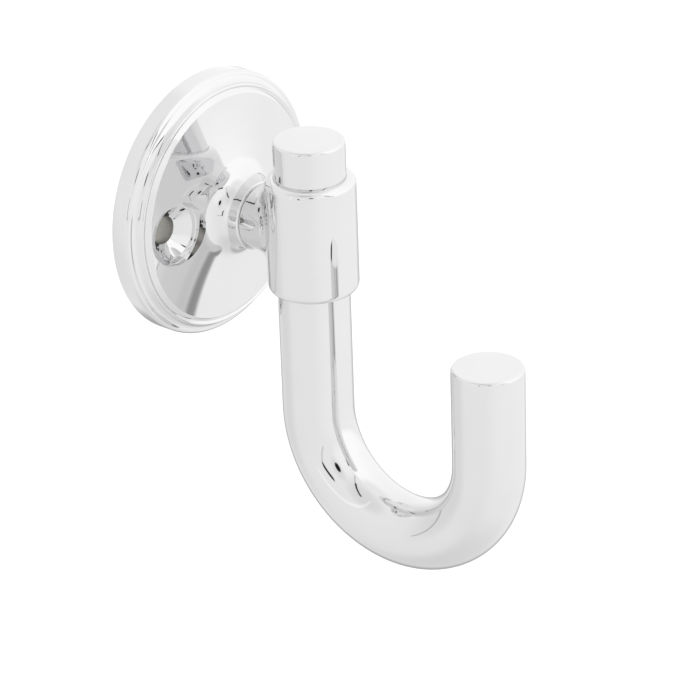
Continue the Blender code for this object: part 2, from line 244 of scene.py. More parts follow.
def drift(tree, place, look):
    # a colour and a roughness that drift with a fine cloud
    cloud = addNode(
        tree,
        "ShaderNodeTexNoise",
        Vector=place,
        Scale=look["scale"],
        Detail=look["detail"],
    ).outputs["Fac"]
    tone = addNode(tree, "ShaderNodeValToRGB", Fac=cloud)
    for element, end in zip(tone.color_ramp.elements, ("dark", "light")):
        element.color = (*look[end], 1.0)
    polish = addNode(
        tree,
        "ShaderNodeMapRange",
        Value=cloud,
        To_Min=look["gloss"],
        To_Max=look["haze"],
    )
    return tone.outputs["Color"], polish.outputs["Result"]


def cloudedMetal(name, look):
    finish = bpy.data.materials.new(name)
    finish.use_nodes = True
    tree = finish.node_tree
    shader = tree.nodes["Principled BSDF"]
    shader.inputs["Metallic"].default_value = 1.0
    place = tree.nodes.new("ShaderNodeTexCoord").outputs["Object"]
    tone, polish = drift(tree, place, look)
    tree.links.new(tone, shader.inputs["Base Color"])
    tree.links.new(polish, shader.inputs["Roughness"])
    return finish


chrome = cloudedMetal("polishedChrome", chromeLook)


# Hook bar

barSizes = {
    "armTop": -15.0 * mm,      # height of the front arm's flat tip
    "endRound": 0.6 * mm,
    "screwGroove": 1.2 * mm,   # depth of the groove that the clamp screw's point sits in
    "grooveHalf": 2.05 * mm,
    "grooveWall": 0.01 * mm,   # height over which the groove's ends step in
    "sides": 144,
    "bendSteps": 128,
    "roundSteps": 8,
}


def barRoute(sizes):
    # points down the bar's middle, each with the bar's girth there
    radius = barHigh.x
    bend = (barHigh.y - barLow.y) / 2 - radius
    bendTop = barLow.z + radius + bend
    back = swivelAxis.y
    tipRound = sizes["endRound"]
    tip = []
    for i in range(sizes["roundSteps"], -1, -1):
        turn = quarterTurn * i / sizes["roundSteps"]
        inset = tipRound * (1 - math.sin(turn))
        tip.append((inset, radius - tipRound + tipRound * math.cos(turn)))
    groove = sizes["grooveHalf"]
    grooveEnd = groove + sizes["grooveWall"]
    floor = radius - sizes["screwGroove"]
    route = [(back, barHigh.z - inset, girth) for inset, girth in tip]
    route += [(back, grooveEnd, radius), (back, groove, floor)]
    route += [(back, -groove, floor), (back, -grooveEnd, radius)]
    for i in range(sizes["bendSteps"] + 1):
        turn = math.pi * i / sizes["bendSteps"]
        route.append((back - bend * (1 - math.cos(turn)), bendTop - bend * math.sin(turn), radius))
    route += [(back - 2 * bend, sizes["armTop"] - inset, girth) for inset, girth in reversed(tip)]
    return route


def barSweepTree():
    tree, inputs = newTree("barSweep", {"Sides": "Int", "Radius": "Float", "Material": "Material"})
    path = addNode(tree, "GeometryNodeMeshToCurve", Mesh=inputs["Geometry"])
    girth = addNode(tree, "GeometryNodeInputNamedAttribute", Name="girth")
    ring = addNode(tree, "GeometryNodeCurvePrimitiveCircle", Resolution=inputs["Sides"])
    tree.links.new(inputs["Radius"], ring.inputs["Radius"])
    sweep = addNode(
        tree,
        "GeometryNodeCurveToMesh",
        Curve=path.outputs["Curve"],
        Profile_Curve=ring.outputs["Curve"],
        Scale=girth.outputs["Attribute"],
        Fill_Caps=True,
    )
    endTree(tree, sweep.outputs["Mesh"], inputs["Material"])
    return tree


def makeHookBar(sizes):
    route = barRoute(sizes)
    mesh = bpy.data.meshes.new("hookBar")
    edges = [(i, i + 1) for i in range(len(route) - 1)]
    mesh.from_pydata([(0.0, y, z) for y, z, girth in route], edges, [])
    girths = mesh.attributes.new("girth", "FLOAT", "POINT")
    girths.data.foreach_set("value", [girth / barHigh.x for y, z, girth in route])
    bar = addPiece("hookBar", mesh)
    values = {"Sides": sizes["sides"], "Radius": barHigh.x, "Material": chrome}
    runTree(bar, barSweepTree(), values)
    dressNode(bar, "hook_bar")
    return bar


hookBar = makeHookBar(barSizes)
print("hook bar swept:", len(hookBar.data.polygons), "faces")


# Rose

roseSizes = {
    "bandDepth": 3.05 * mm,    # the plain band round the edge, then the rim from outside in
    "noseRound": 0.95 * mm,
    "coveRadius": 1.45 * mm,
    "coveFoot": math.radians(8),   # how far the surface leans outward at each end of the cove
    "coveTop": math.radians(86),
    "beadRound": 0.3 * mm,
    "beadBack": math.radians(-35),
    "grooveWidth": 0.45 * mm,
    "grooveDepth": 0.25 * mm,
    "grooveRound": 0.4 * mm,
    "stepWidth": 0.74 * mm,
    "stepHeight": 0.75 * mm,
    "stepRound": 0.3 * mm,
    "coneFootLean": math.radians(7.6),  # the cone is slightly hollow
    "coneTopLean": math.radians(12),
    "neckRadius": 6.2 * mm,
    "neckFillet": 4.0 * mm,
    "neckEdge": 0.25 * mm,
    "edgeRound": 0.15 * mm,
    "backChamfer": 0.4 * mm,
    "bearingRing": 12.6 * mm,
    "backRelief": 0.8 * mm,
    "recessRadius": 5.5 * mm,
    "recessDepth": 7.1 * mm,
    "boreRadius": 2.8 * mm,
    "steps": 360,
    "arcSteps": 24,
    "coneSteps": 32,
    "neckSteps": 6,
    "grooveSteps": 12,
}

holeSizes = {
    "count": 2,
    "spacing": 28.8 * mm,
    "holeRadius": 2.5 * mm,
    "countersink": 4.8 * mm,
    "spotFace": 5.8 * mm,
    "spotDepth": 5.9 * mm,
    "footRound": 0.4 * mm,
    "edgeRound": 0.12 * mm,
    "overrun": 1.0 * mm,
    "footSteps": 8,
    "steps": 192,
}

# colours: painted shade in the rose's wall screw bores; gloss and haze: the duller real finish of
# the bores and the back
dullAndBoreShadeLook = {
    "dark": (0.34, 0.33, 0.31),
    "light": (0.44, 0.43, 0.40),
    "scale": 900.0,
    "detail": 6.0,
    "gloss": 0.34,
    "haze": 0.56,
    "margin": 0.06 * mm,       # how far past a bore's wall or the back's relief it reaches
}


def leaning(angle):
    return Vector((math.sin(angle), math.cos(angle)))


def roseOutline(s):
    steps = s["arcSteps"]
    neckDepth = -roseLow.y
    radius = roseHigh.x

    # centres of the rim's nose, cove and bead, and the groove that the cone's edge steps down to
    foot, top, beadLean = s["coveFoot"], s["coveTop"], s["beadBack"]
    nose = Vector((radius - s["noseRound"], s["bandDepth"]))
    cove = nose + (s["noseRound"] + s["coveRadius"]) * leaning(foot)
    bead = cove - (s["coveRadius"] + s["beadRound"]) * leaning(top)
    groove = bead + Vector((-s["grooveWidth"], s["beadRound"] - s["grooveDepth"]))
    coneFoot = groove + Vector((-s["stepWidth"], s["stepHeight"]))

    edge = s["neckEdge"]
    neckCorner = (s["neckRadius"] - edge, neckDepth - edge)
    outline = [(s["boreRadius"], neckDepth)]
    outline += arcPoints(neckCorner, edge, quarterTurn, 0.0, s["neckSteps"])

    # the flare from the neck, then the cone
    fillet = s["neckFillet"]
    coneTopLean, coneFootLean = s["coneTopLean"], s["coneFootLean"]
    flareRadius = s["neckRadius"] + fillet
    coneWidth = coneFoot.x - flareRadius + fillet * math.sin(coneTopLean)
    hollow = coneWidth / (math.sin(coneTopLean) - math.sin(coneFootLean))
    cone = coneFoot + hollow * leaning(coneFootLean)
    flareDepth = cone.y - (hollow - fillet) * math.cos(coneTopLean)
    coneStart, coneEnd = threeQuarters - coneTopLean, threeQuarters - coneFootLean
    outline += arcPoints((flareRadius, flareDepth), fillet, math.pi, coneStart, steps)
    outline += arcPoints(cone, hollow, coneStart, coneEnd, s["coneSteps"])[1:-1]

    # down the step, over the bead, through the cove and round the nose to the band
    beadArc = arcPoints(bead, s["beadRound"], quarterTurn - beadLean, quarterTurn - top, steps)
    stepped = [outline.pop(), coneFoot, groove, beadArc[0]]
    outline += softened(stepped, [s["stepRound"], s["grooveRound"]], s["grooveSteps"])
    outline += beadArc[1:]
    coveStart, coveEnd = threeQuarters - top, threeQuarters - foot
    outline += arcPoints(cove, s["coveRadius"], coveStart, coveEnd, steps)[1:]
    outline += arcPoints(nose, s["noseRound"], quarterTurn - foot, 0.0, steps)[1:]

    # the band and the back, with the relieved middle and the screw's recess
    chamfer = s["backChamfer"]
    relief = radius - chamfer - s["bearingRing"]
    behind = [
        (radius, s["bandDepth"] / 2),
        (radius, chamfer),
        (radius - chamfer, 0.0),
        (relief, 0.0),
        (relief, s["backRelief"]),
        (s["recessRadius"], s["backRelief"]),
        (s["recessRadius"], s["recessDepth"]),
        (s["boreRadius"], s["recessDepth"]),
        (s["boreRadius"], neckDepth - edge),
    ]
    return outline + softened(behind, s["edgeRound"])


def boreTop(holes):
    # height of the countersink's foot, which falls at 45 degrees
    return holes["spotDepth"] - (holes["countersink"] - holes["holeRadius"])


def wallScrewCutter(s):
    # one turned cutter: clearance hole, countersink and spot face
    top = -roseLow.y + s["overrun"]
    wall = [
        (s["spotFace"], top),
        (s["spotFace"], s["spotDepth"]),
        ((s["spotFace"] + s["countersink"]) / 2, s["spotDepth"]),
    ]
    sink = [
        wall[-1],
        (s["countersink"], s["spotDepth"]),
        (s["holeRadius"], boreTop(s)),
        (s["holeRadius"], -s["overrun"]),
    ]
    outline = [(0.0, top)] + softened(wall, s["footRound"], s["footSteps"])[:-1]
    outline += softened(sink, s["edgeRound"]) + [(0.0, -s["overrun"])]
    bm = bmesh.new()
    lathe(bm, outline, s["steps"], outFromWall)
    return addPiece("wallScrewCutter", finishMesh(bm, "wallScrewCutter"))


def drillTree():
    # a level row of cutters about the rose's axis, cut out of the plate
    tree, inputs = newTree(
        "drillWallScrewHoles",
        {"Cutter": "Object", "Count": "Int", "Spacing": "Float", "Material": "Material"},
    )
    cutter = addNode(tree, "GeometryNodeObjectInfo", Object=inputs["Cutter"])
    places = calc(tree, "MULTIPLY_ADD", inputs["Count"], -0.5, 0.5)
    farLeft = calc(tree, "MULTIPLY", inputs["Spacing"], places)
    first = addNode(tree, "ShaderNodeCombineXYZ", X=farLeft)
    step = addNode(tree, "ShaderNodeCombineXYZ", X=inputs["Spacing"])
    centres = addNode(
        tree,
        "GeometryNodeMeshLine",
        Count=inputs["Count"],
        Start_Location=first.outputs[0],
        Offset=step.outputs[0],
    )
    cutters = addNode(
        tree,
        "GeometryNodeInstanceOnPoints",
        Points=centres.outputs["Mesh"],
        Instance=cutter.outputs["Geometry"],
    )
    solid = addNode(tree, "GeometryNodeRealizeInstances", Geometry=cutters.outputs["Instances"])
    drilled = tree.nodes.new("GeometryNodeMeshBoolean")
    drilled.operation = "DIFFERENCE"
    drilled.solver = "MANIFOLD"
    tree.links.new(inputs["Geometry"], drilled.inputs["Mesh 1"])
    tree.links.new(solid.outputs[0], drilled.inputs["Mesh 2"])
    endTree(tree, drilled.outputs["Mesh"], inputs["Material"])
    return tree


def mixIn(tree, kind, share, base, other):
    # base with a share of other, as a colour or a number
    mix = tree.nodes.new("ShaderNodeMix")
    mix.data_type = kind
    slots = [s for s in mix.inputs if s.enabled]
    for socket, value in zip(slots, (share, base, other)):
        tree.links.new(value, socket)
    return [s for s in mix.outputs if s.enabled][0]


def roseFinish(look, sizes, holes):
    # chrome, but dull bare metal in the wall screw holes' bores, whose colour is darkened there as
    # painted shade, and an unpolished back
    finish = cloudedMetal("roseChrome", chromeLook)
    tree = finish.node_tree
    shader = tree.nodes["Principled BSDF"]
    place = tree.nodes.new("ShaderNodeTexCoord").outputs["Object"]
    x, y, z = addNode(tree, "ShaderNodeSeparateXYZ", Vector=place).outputs
    heightSquared = calc(tree, "MULTIPLY", z, z)

    across = calc(tree, "SUBTRACT", calc(tree, "ABSOLUTE", x), holes["spacing"] / 2)
    fromBore = calc(tree, "MULTIPLY_ADD", across, across, heightSquared)
    inHole = calc(tree, "LESS_THAN", fromBore, (holes["holeRadius"] + look["margin"]) ** 2)
    underSink = calc(tree, "GREATER_THAN", y, look["margin"] - boreTop(holes))
    inBore = calc(tree, "MULTIPLY", inHole, underSink)

    fromMiddle = calc(tree, "MULTIPLY_ADD", x, x, heightSquared)
    inRim = calc(tree, "LESS_THAN", fromMiddle, (roseHigh.x - sizes["backChamfer"]) ** 2)
    atBack = calc(tree, "GREATER_THAN", y, -sizes["backRelief"] - look["margin"])
    dull = calc(tree, "MAXIMUM", inBore, calc(tree, "MULTIPLY", inRim, atBack))

    paintedBoreShade, bareHaze = drift(tree, place, look)
    plated = [shader.inputs[name].links[0].from_socket for name in ("Base Color", "Roughness")]
    # the bores take the darker colour as painted shade; the bores and the back take the duller
    # roughness
    colour = mixIn(tree, "RGBA", inBore, plated[0], paintedBoreShade)
    roughness = mixIn(tree, "FLOAT", dull, plated[1], bareHaze)
    tree.links.new(colour, shader.inputs["Base Color"])
    tree.links.new(roughness, shader.inputs["Roughness"])
    return finish


def makeRose(sizes, holes, finish):
    bm = bmesh.new()
    lathe(bm, roseOutline(sizes), sizes["steps"], outFromWall, closed=True)
    rose = addPiece("rosePlate", finishMesh(bm, "rosePlate"))
    cutter = wallScrewCutter(holes)
    values = {"Count": holes["count"], "Spacing": holes["spacing"], "Material": finish}
    runTree(rose, drillTree(), {"Cutter": cutter, **values})
    bpy.data.objects.remove(cutter)
    dressNode(rose, "rose")
    return rose


rosePlate = makeRose(roseSizes, holeSizes, roseFinish(dullAndBoreShadeLook, roseSizes, holeSizes))
print("rose turned and drilled:", len(rosePlate.data.polygons), "faces")


# Sleeve

sleeveSizes = {
    "edgeRound": 1.35 * mm,
    "stemRadius": 5.8 * mm,
    "stemFillet": 3.4 * mm,
    "stemEdge": 0.2 * mm,
    "seamGap": 0.04 * mm,      # between the stem's face and the rose's neck
    "boreGap": 0.03 * mm,      # round the bar
    "screwBore": 2.8 * mm,
    "cornerTurn": math.radians(35),
    "sideSteps": 56,
    "endSteps": 136,
    "arcSteps": 20,
    "stemEdgeSteps": 5,
    "boreSteps": 20,
    "collarSteps": 40,
}


def mouthTurns(s):
    # angles round the stem, with the unwrapped collar's edge point that each one runs out to
    side, end, corner = s["sideSteps"], s["endSteps"], s["cornerTurn"]
    turns = []
    for i in range(side):
        turns.append((-corner + 2 * corner * i / side, 1.0, 2 * i / side - 1))
    for i in range(end):
        turns.append((corner + (math.pi - 2 * corner) * i / end, 1 - 2 * i / end, 1.0))
    return turns + [(turn + math.pi, -across, -up) for turn, across, up in turns]


def collarPatch(mouth, edges, radius, half, steps):
    # from the mouth where a round bore or stem meets a cylinder, out over the whole cylinder
    rings = []
    for k in range(steps + 1):
        t = k / steps
        ring = []
        for (swing, height), (across, up) in zip(mouth, edges):
            a = swing + (across * math.pi - swing) * t
            rise = height + (up * half - height) * t
            ring.append(Vector((radius * math.sin(a), radius * math.cos(a), rise)))
        rings.append(ring)
    return rings


def makeSleeve(s):
    # measured from the bar's axis, with the stem towards the wall
    radius = sleeveHigh.x
    half = sleeveHigh.z
    straight = half - s["edgeRound"]
    bore = barHigh.x + s["boreGap"]
    face = -swivelAxis.y + roseLow.y - s["seamGap"]
    mouths = mouthTurns(s)
    turns = [turn for turn, across, up in mouths]
    edges = [(across, up) for turn, across, up in mouths]
    rings = []

    # the screw's bore, the stem's face and the stem's rounded edge
    screw = s["screwBore"]
    mouth = [(math.asin(screw * math.cos(t) / bore), screw * math.sin(t)) for t in turns]
    rings += reversed(collarPatch(mouth, edges, bore, half, s["boreSteps"]))
    edge = s["stemEdge"]
    stemCorner = (s["stemRadius"] - edge, face - edge)
    outline = [(screw, face)]
    outline += arcPoints(stemCorner, edge, quarterTurn, 0.0, s["stemEdgeSteps"])
    for girth, depth in outline:
        rings.append([Vector((girth * math.cos(t), depth, girth * math.sin(t))) for t in turns])

    # the fillet is the path of a ball that rolls round the corner of stem and collar
    fillet = s["stemFillet"]
    fromStem = s["stemRadius"] + fillet
    fromAxis = radius + fillet
    balls = []
    for t in turns:
        x = fromStem * math.cos(t)
        balls.append(Vector((x, math.sqrt(fromAxis**2 - x**2), fromStem * math.sin(t))))
    for k in range(s["arcSteps"] + 1):
        ring = []
        for ball, t in zip(balls, turns):
            toStem = Vector((-math.cos(t), 0.0, -math.sin(t)))
            toCollar = Vector((-ball.x, -ball.y, 0.0)).normalized()
            ring.append(ball + fillet * toStem.slerp(toCollar, k / s["arcSteps"]))
        rings.append(ring)
    mouth = [(math.atan2(p.x, p.y), p.z) for p in rings[-1]]
    rings += collarPatch(mouth, edges, radius, straight, s["collarSteps"])[1:]

    bm = bmesh.new()
    skin(bm, [[bm.verts.new(swivelAxis + p) for p in ring] for ring in rings])

    # the rounded shoulders, from the collar over the land to the bore
    corner = (radius - s["edgeRound"], straight)
    shoulder = arcPoints(corner, s["edgeRound"], 0.0, quarterTurn, s["arcSteps"])
    shoulder.append((bore, half))
    for up in (1, -1):
        around = [across * math.pi for across, side in edges if side == up]
        rings = []
        for girth, height in shoulder:
            ring = [Vector((girth * math.sin(a), girth * math.cos(a), up * height)) for a in around]
            rings.append([bm.verts.new(swivelAxis + p) for p in ring])
        skin(bm, rings)
    sleeve = addPiece("sleeveCollar", finishMesh(bm, "sleeveCollar"), chrome)
    dressNode(sleeve, "sleeve")
    return sleeve


sleeveCollar = makeSleeve(sleeveSizes)
print("sleeve built:", len(sleeveCollar.data.polygons), "faces")


# Fixing, hidden but for the screw's head in the back of the rose

screwSizes = {
    "headRound": 0.4 * mm,
    "headHeight": 3.5 * mm,
    "socketFlats": 6,
    "socketHalf": 1.5 * mm,    # half the hex socket's width across its flats
    "socketMouth": 1.85 * mm,
    "socketDepth": 2.0 * mm,
    "socketCone": 0.5 * mm,    # the drill's mark in the socket's floor
    "shank": 2.5 * mm,
    "point": 1.75 * mm,
    "pointLength": 2.0 * mm,
    "pointRound": 0.05 * mm,   # where the point meets the shank's chamfer
    "edgeRound": 0.2 * mm,
    "pitch": 0.8 * mm,
    "threadDepth": 0.45 * mm,
    "threadCrest": 0.12,       # shares of a flank at which the cut starts and is full
    "threadRoot": 0.88,
    "threadStart": 5.6 * mm,   # distance from the wall
    "pitchSteps": 12,
    "headSteps": 8,
    "steps": 96,
}

washerSizes = {
    "bore": 2.8 * mm,
    "edgeRound": 0.2 * mm,
    "split": 0.7 * mm,         # of the lock washer, which is cut on a slant
    "splitSlant": math.radians(20),
    "steps": 120,
}

pinSizes = {"endRound": 0.25 * mm, "endSteps": 6, "steps": 48}

steelLooks = {
    "screw_steel": {
        "dark": (0.58, 0.58, 0.60), "light": (0.66, 0.66, 0.68), "gloss": 0.24, "haze": 0.36,
    },
    "washer_steel": {
        "dark": (0.66, 0.66, 0.66), "light": (0.74, 0.74, 0.74), "gloss": 0.28, "haze": 0.42,
    },
    "spring_steel": {
        "dark": (0.41, 0.41, 0.42), "light": (0.49, 0.49, 0.50), "gloss": 0.28, "haze": 0.42,
    },
    "pin_steel": {
        "dark": (0.51, 0.51, 0.52), "light": (0.59, 0.59, 0.60), "gloss": 0.18, "haze": 0.30,
    },
}
steelCloud = {"scale": 700.0, "detail": 4.0}
steels = {name: cloudedMetal(name, {**steelCloud, **look}) for name, look in steelLooks.items()}


def threadTree():
    # cuts a right-hand thread between two depths by pulling the shank's points inward
    sizes = ("Pitch", "Depth", "Crest", "Root", "Start", "End")
    tree, inputs = newTree("cutThread", {**dict.fromkeys(sizes, "Float"), "Material": "Material"})
    place = tree.nodes.new("GeometryNodeInputPosition").outputs[0]
    x, y, z = addNode(tree, "ShaderNodeSeparateXYZ", Vector=place).outputs
    depth = calc(tree, "MULTIPLY", y, -1.0)
    turn = calc(tree, "DIVIDE", calc(tree, "ARCTAN2", z, x), math.tau)
    pitches = calc(tree, "DIVIDE", depth, inputs["Pitch"])
    phase = calc(tree, "FRACT", calc(tree, "SUBTRACT", pitches, turn))
    flank = calc(tree, "ABSOLUTE", calc(tree, "MULTIPLY_ADD", phase, 2.0, -1.0))
    groove = addNode(
        tree,
        "ShaderNodeMapRange",
        Value=flank,
        From_Min=inputs["Crest"],
        From_Max=inputs["Root"],
    )
    cut = calc(tree, "MULTIPLY", groove.outputs["Result"], inputs["Depth"])
    for edge, way in (("Start", "ADD"), ("End", "SUBTRACT")):
        full = calc(tree, way, inputs[edge], inputs["Pitch"])
        run = addNode(tree, "ShaderNodeMapRange", Value=depth, From_Min=inputs[edge], From_Max=full)
        cut = calc(tree, "MULTIPLY", cut, run.outputs["Result"])
    fromAxis = addNode(tree, "ShaderNodeCombineXYZ", X=x, Z=z).outputs[0]
    outward = vectorCalc(tree, "NORMALIZE", fromAxis)
    inward = vectorCalc(tree, "SCALE", outward, scale=calc(tree, "MULTIPLY", cut, -1.0))
    moved = addNode(tree, "GeometryNodeSetPosition", Geometry=inputs["Geometry"], Offset=inward)
    endTree(tree, moved.outputs["Geometry"], inputs["Material"])
    return tree


def makeClampScrew(s, steel):
    tip, face = -screwLow.y, -screwHigh.y
    seat = face + s["headHeight"]
    shoulder = tip - s["pointLength"]
    threadEnd = shoulder - (s["shank"] - s["point"])
    end = [(0.0, tip), (s["point"], tip), (s["point"], shoulder), (s["shank"], threadEnd)]
    outline = softened(end, [s["edgeRound"], s["pointRound"]])
    count = round((threadEnd - s["threadStart"]) / s["pitch"] * s["pitchSteps"])
    for i in range(1, count + 1):
        outline.append((s["shank"], threadEnd + (s["threadStart"] - threadEnd) * i / count))
    outline.append((s["shank"], seat))
    head = [(screwHigh.x, seat), (screwHigh.x, face), (s["socketMouth"], face)]
    outline += softened(head, s["headRound"], s["headSteps"])

    # down the chamfered hex socket
    rim = face + (s["socketMouth"] - s["socketHalf"]) / 2
    floor = face + s["socketDepth"]
    outline += [(s["socketHalf"], depth, s["socketFlats"]) for depth in (rim, floor)]
    outline.append((0.0, floor + s["socketCone"]))
    bm = bmesh.new()
    lathe(bm, outline, s["steps"], outFromWall)
    screw = addPiece("clampScrew", finishMesh(bm, "clampScrew"))
    values = {
        "Pitch": s["pitch"],
        "Depth": s["threadDepth"],
        "Crest": s["threadCrest"],
        "Root": s["threadRoot"],
        "Start": s["threadStart"],
        "End": threadEnd,
        "Material": steel,
    }
    runTree(screw, threadTree(), values)
    dressNode(screw, "clamp_screw")


def washerSection(low, high, s):
    # round the washer's cross section as (radius, depth)
    radius, near, far = high.x, -high.y, -low.y
    middle = (radius, (near + far) / 2)
    corners = [(radius, near), (s["bore"], near), (s["bore"], far), (radius, far)]
    return softened([middle, *corners, middle], s["edgeRound"])[:-1]


def makePlainWasher(s, steel):
    bm = bmesh.new()
    lathe(bm, washerSection(plainLow, plainHigh, s), s["steps"], outFromWall, closed=True)
    washer = addPiece("plainWasher", finishMesh(bm, "plainWasher"), steel)
    dressNode(washer, "plain_washer")


def makeLockWasher(s, steel):
    section = washerSection(lockLow, lockHigh, s)
    middle = -(lockLow.y + lockHigh.y) / 2
    bm = bmesh.new()
    rings = []
    for i in range(s["steps"] + 1):
        ring = []
        for radius, depth in section:
            half = math.asin(s["split"] / 2 / math.cos(s["splitSlant"]) / radius)
            slant = (depth - middle) * math.tan(s["splitSlant"]) / radius
            turn = half + (math.tau - 2 * half) * i / s["steps"] + slant
            ring.append(bm.verts.new((radius * math.cos(turn), -depth, radius * math.sin(turn))))
        rings.append(ring)
    skin(bm, rings)
    bm.faces.new(rings[0])
    bm.faces.new(rings[-1])
    washer = addPiece("lockWasher", finishMesh(bm, "lockWasher"), steel)
    dressNode(washer, "lock_washer")


def makeLocatingPin(s, steel):
    low, high = -pinHigh.y, -pinLow.y
    radius = pinHigh.x
    ends = [(0.0, high), (radius, high), (radius, low), (0.0, low)]
    lift = Matrix.Translation((0.0, 0.0, (pinLow.z + pinHigh.z) / 2))
    bm = bmesh.new()
    lathe(bm, softened(ends, s["endRound"], s["endSteps"]), s["steps"], lift @ outFromWall)
    pin = addPiece("locatingPin", finishMesh(bm, "locatingPin"), steel)
    dressNode(pin, "locating_pin")


makeClampScrew(screwSizes, steels["screw_steel"])
makePlainWasher(washerSizes, steels["washer_steel"])
makeLockWasher(washerSizes, steels["spring_steel"])
makeLocatingPin(pinSizes, steels["pin_steel"])
print("clamp screw, washers and pin made")


# Stage

cameraSetup = {
    "azimuth": math.radians(-49.8),
    "elevation": math.radians(26.45),
    "roll": math.radians(-2.0),
    "lookAt": Vector((2.87, -30.39, -22.46)) * mm,
    "distance": 631.3 * mm,
    "lens": 184.98,
    "sensor": 36.0,
}

# angles in the tent are in degrees, and places in it are (azimuth, elevation)
tentSetup = {
    "right": 1.08,             # brightness of each side of the white tent that the hook stands in
    "left": 0.985,
    "wallSide": 0.96,
    "front": 1.00,
    "top": 1.02,
    "bottom": 0.91,
    "window": 1.23,            # the lit side cloth, brightest at the start of its span
    "windowFar": 1.10,
    "windowSpan": (40.0, 140.0),
    "windowEdge": 9.3,
    "windowEdgeFade": (-1.0, 2.0),
    "windowLean": -0.47,       # the near edge leans up to this height, then stands upright
    "windowLeanTop": 38.0,
    "windowEnd": 150.0,
    "windowEndFade": (8.0, -8.0),
    "windowFoot": -8.0,
    "windowFootFade": (-6.0, 6.0),
    "windowHead": 66.0,
    "windowHeadFade": (10.0, -8.0),
    "lens": (-47.4, 24.3),     # the dark hole that the camera looks through
    "lensHole": 5.6,
    "lensFade": (1.2, 0.8),
    "lensDark": 0.98,
    "patches": (               # place, reach and change of the darker and lighter parts
        ((-90.0, 58.0), 34.0, -0.15),
        ((0.0, -88.0), 40.0, -0.11),
        ((126.0, -41.0), 38.0, -0.54),
        ((-165.0, -15.0), 40.0, -0.11),
        ((10.0, -38.0), 60.0, 0.06),
        ((-18.0, 28.0), 28.0, 0.09),
        ((-50.0, 25.0), 17.0, -0.12),
    ),
    "gaps": (                  # dark gaps at the cloths' edges: two ends, half width and depth
        ((-82.0, 53.0), (-46.0, 56.0), 1.9, 0.93),
        ((-46.0, 56.0), (-18.0, 54.0), 1.3, 0.35),
        ((-9.5, 38.0), (-2.5, 22.5), 2.2, 0.95),
        ((-2.0, 22.0), (7.0, 7.0), 1.3, 0.60),
        ((-78.5, 11.0), (-78.0, 0.5), 2.6, 0.97),
        ((-78.0, -1.0), (-55.0, -4.0), 1.2, 0.30),
        ((-175.0, -11.0), (-137.0, -4.0), 1.4, 0.35),
    ),
    "seams": (                 # bright folds in the cloth
        ((-102.0, 60.0), (-97.0, -12.0), 2.2, 0.12),
    ),
    "lineFade": (1.4, 0.6),    # where a gap or fold starts and is full, in half widths
    "fill": 0.95,
}

floorSetup = {
    "drop": 300 * mm,
    "reach": 5.0,
    "pale": (0.90, 0.90, 0.90, 1.0),
    "lift": 0.25,
}


def lookFrom(azimuth, elevation):
    flat = math.cos(elevation)
    return Vector((math.sin(azimuth) * flat, -math.cos(azimuth) * flat, math.sin(elevation)))


def makeCamera(setup):
    camera = bpy.data.objects.new("camera", bpy.data.cameras.new("camera"))
    bpy.context.scene.collection.objects.link(camera)
    camera.data.lens = setup["lens"]
    camera.data.sensor_width = setup["sensor"]
    away = lookFrom(setup["azimuth"], setup["elevation"])
    aim = (-away).to_track_quat("-Z", "Y").to_matrix().to_4x4()
    place = Matrix.Translation(setup["lookAt"] + away * setup["distance"])
    camera.matrix_world = place @ aim @ Matrix.Rotation(setup["roll"], 4, "Z")
    bpy.context.scene.camera = camera


def fade(tree, value, low, high):
    node = addNode(tree, "ShaderNodeMapRange", Value=value, From_Min=low, From_Max=high)
    node.interpolation_type = "SMOOTHSTEP"
    return node.outputs["Result"]


def nearPlace(tree, direction, place, start, full):
    # 1 round a place in the tent, fading from one angle from it to another
    middle = lookFrom(*(math.radians(angle) for angle in place))
    nearness = vectorCalc(tree, "DOT_PRODUCT", direction, middle)
    return fade(tree, nearness, math.cos(math.radians(start)), math.cos(math.radians(full)))


def nearLine(tree, spot, start, end, width, edge):
    # 1 on a line between two places in the tent, fading out at its edges
    run = (end[0] - start[0], end[1] - start[1], 0.0)
    size = run[0] ** 2 + run[1] ** 2
    away = vectorCalc(tree, "SUBTRACT", spot, (*start, 0.0))
    share = calc(tree, "DIVIDE", vectorCalc(tree, "DOT_PRODUCT", away, run), size)
    share = calc(tree, "MINIMUM", calc(tree, "MAXIMUM", share, 0.0), 1.0)
    foot = vectorCalc(tree, "SCALE", run, scale=share)
    gap = vectorCalc(tree, "DISTANCE", away, foot)
    return fade(tree, gap, width * edge[0], width * edge[1])


